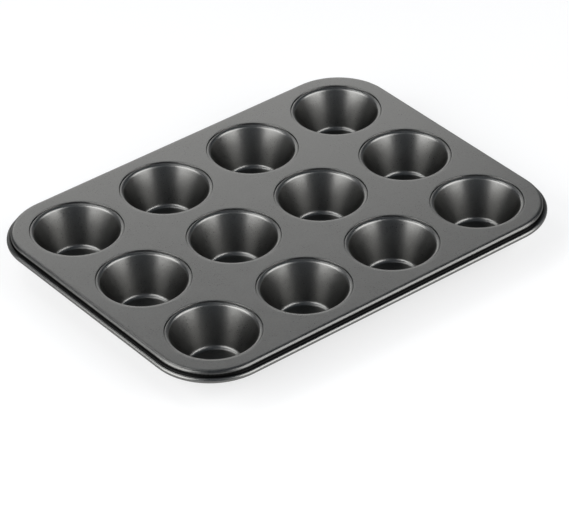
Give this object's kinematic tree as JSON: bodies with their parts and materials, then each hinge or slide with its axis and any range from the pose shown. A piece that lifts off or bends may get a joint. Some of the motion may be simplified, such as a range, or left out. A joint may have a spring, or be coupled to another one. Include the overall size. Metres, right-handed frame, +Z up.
{
  "type": "muffin tin",
  "caption": "Rectangular baking tin with rounded corners, a grid of tapered round cups seamed into a flat deck, and a wired rolled edge.",
  "frame": {"origin": "middle of the footprint, on the plane the cups' undersides stand on", "axes": "+X along the long side, +Y along the short side, +Z up out of the cups"},
  "size_m": [0.35, 0.266, 0.0321],
  "materials": {
    "plate_coat": "satin dark grey non-stick coating on steel sheet",
    "cup_coat": "satin dark grey non-stick coating on steel sheet",
    "wire_steel": "bare drawn steel wire"
  },
  "bodies": {
    "root": {"frame_plate": "plate_coat", "rim_wire": "wire_steel", "cup_row1_column1": "cup_coat", "cup_row1_column2": "cup_coat", "cup_row1_column3": "cup_coat", "cup_row1_column4": "cup_coat", "cup_row2_column1": "cup_coat", "cup_row2_column2": "cup_coat", "cup_row2_column3": "cup_coat", "cup_row2_column4": "cup_coat", "cup_row3_column1": "cup_coat", "cup_row3_column2": "cup_coat", "cup_row3_column3": "cup_coat", "cup_row3_column4": "cup_coat"}
  },
  "joints": []
}
